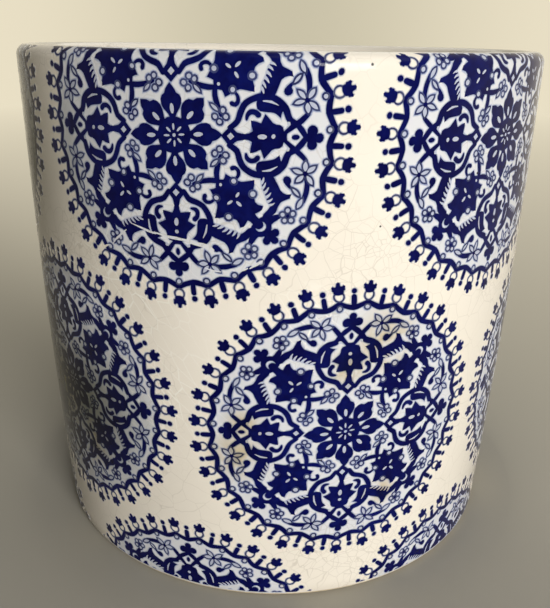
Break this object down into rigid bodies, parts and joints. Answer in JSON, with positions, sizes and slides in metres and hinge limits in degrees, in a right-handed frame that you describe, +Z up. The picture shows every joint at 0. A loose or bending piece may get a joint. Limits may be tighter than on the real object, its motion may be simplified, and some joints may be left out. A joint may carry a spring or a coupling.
{
  "type": "flower pot",
  "caption": "Straight-sided round earthenware flower pot with a rounded lip, a closed floor and a bare foot ring, glazed inside and out.",
  "frame": {"origin": "middle of the underside, on the surface that the pot stands on", "axes": "+Z up along the pot's axis; -Y is the side that faces the viewer of the picture, +X to that viewer's right"},
  "size_m": [0.15, 0.15, 0.1423],
  "materials": {
    "fired_clay": "matt unglazed earthenware",
    "cream_glaze": "glossy cream glaze with fine crazing",
    "cobalt_print": "dark cobalt print under a glossy glaze"
  },
  "bodies": {
    "root": {"earthenware_body": "fired_clay", "glaze_coat": "cream_glaze", "recess_glaze": "cream_glaze"}
  },
  "joints": []
}
